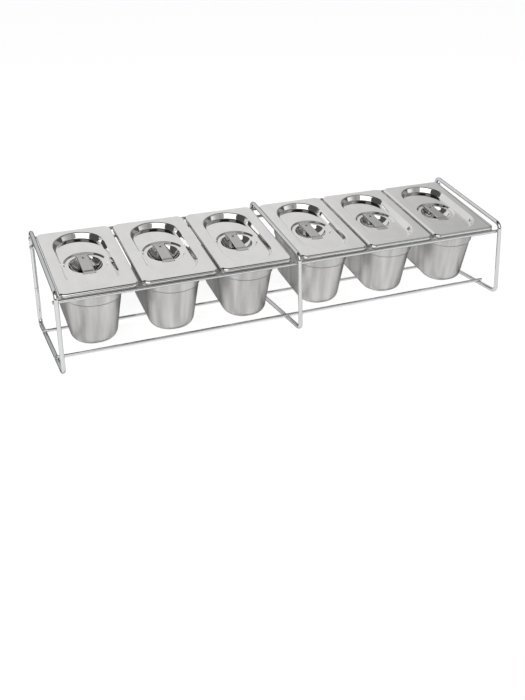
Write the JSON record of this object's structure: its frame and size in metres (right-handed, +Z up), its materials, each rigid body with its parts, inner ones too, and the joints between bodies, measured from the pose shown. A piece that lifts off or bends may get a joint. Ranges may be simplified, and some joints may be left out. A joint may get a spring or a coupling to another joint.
{
  "type": "food pan rack",
  "caption": "Countertop rack of chromed wire that holds a sloping row of small steel food pans, each with a lift-off lid and a recessed strap handle.",
  "frame": {"origin": "on the table, under the middle of the rack: the centre of the bottom of the bounding box", "axes": "+X along the row of pans to the right, +Y from the low front to the high rear, +Z up"},
  "size_m": [0.6974, 0.192, 0.1512],
  "materials": {
    "chromed_wire": "bright nickel-chrome plated round wire, welded at each crossing",
    "pan_steel": "deep-drawn stainless steel, satin polished with faint drawing marks down the walls",
    "lid_steel": "pressed stainless steel, nearly mirror polished",
    "lid_handle_steel": "stainless strip, satin polished, spot-welded at both ends"
  },
  "bodies": {
    "rack": {"left_loop": "chromed_wire", "middle_loop": "chromed_wire", "right_loop": "chromed_wire", "front_rail": "chromed_wire", "rear_rail": "chromed_wire", "rear_brace": "chromed_wire", "lower_front_wire": "chromed_wire", "lower_rear_wire": "chromed_wire"},
    "pan_1": {"pan_1": "pan_steel"},
    "lid_1": {"lid_1": "lid_steel", "lid_handle_1": "lid_handle_steel"},
    "pan_2": {"pan_2": "pan_steel"},
    "lid_2": {"lid_2": "lid_steel", "lid_handle_2": "lid_handle_steel"},
    "pan_3": {"pan_3": "pan_steel"},
    "lid_3": {"lid_3": "lid_steel", "lid_handle_3": "lid_handle_steel"},
    "pan_4": {"pan_4": "pan_steel"},
    "lid_4": {"lid_4": "lid_steel", "lid_handle_4": "lid_handle_steel"},
    "pan_5": {"pan_5": "pan_steel"},
    "lid_5": {"lid_5": "lid_steel", "lid_handle_5": "lid_handle_steel"},
    "pan_6": {"pan_6": "pan_steel"},
    "lid_6": {"lid_6": "lid_steel", "lid_handle_6": "lid_handle_steel"}
  },
  "joints": [
    {"name": "pan_1_lift", "type": "slide", "parent": "rack", "child": "pan_1", "axis": [0, -0.1959, 0.9806], "range_m": [0, 0.12]},
    {"name": "lid_1_lift", "type": "slide", "parent": "pan_1", "child": "lid_1", "axis": [0, -0.1959, 0.9806], "range_m": [0, 0.06]},
    {"name": "pan_2_lift", "type": "slide", "parent": "rack", "child": "pan_2", "axis": [0, -0.1959, 0.9806], "range_m": [0, 0.12]},
    {"name": "lid_2_lift", "type": "slide", "parent": "pan_2", "child": "lid_2", "axis": [0, -0.1959, 0.9806], "range_m": [0, 0.06]},
    {"name": "pan_3_lift", "type": "slide", "parent": "rack", "child": "pan_3", "axis": [0, -0.1959, 0.9806], "range_m": [0, 0.12]},
    {"name": "lid_3_lift", "type": "slide", "parent": "pan_3", "child": "lid_3", "axis": [0, -0.1959, 0.9806], "range_m": [0, 0.06]},
    {"name": "pan_4_lift", "type": "slide", "parent": "rack", "child": "pan_4", "axis": [0, -0.1959, 0.9806], "range_m": [0, 0.12]},
    {"name": "lid_4_lift", "type": "slide", "parent": "pan_4", "child": "lid_4", "axis": [0, -0.1959, 0.9806], "range_m": [0, 0.06]},
    {"name": "pan_5_lift", "type": "slide", "parent": "rack", "child": "pan_5", "axis": [0, -0.1959, 0.9806], "range_m": [0, 0.12]},
    {"name": "lid_5_lift", "type": "slide", "parent": "pan_5", "child": "lid_5", "axis": [0, -0.1959, 0.9806], "range_m": [0, 0.06]},
    {"name": "pan_6_lift", "type": "slide", "parent": "rack", "child": "pan_6", "axis": [0, -0.1959, 0.9806], "range_m": [0, 0.12]},
    {"name": "lid_6_lift", "type": "slide", "parent": "pan_6", "child": "lid_6", "axis": [0, -0.1959, 0.9806], "range_m": [0, 0.06]}
  ]
}
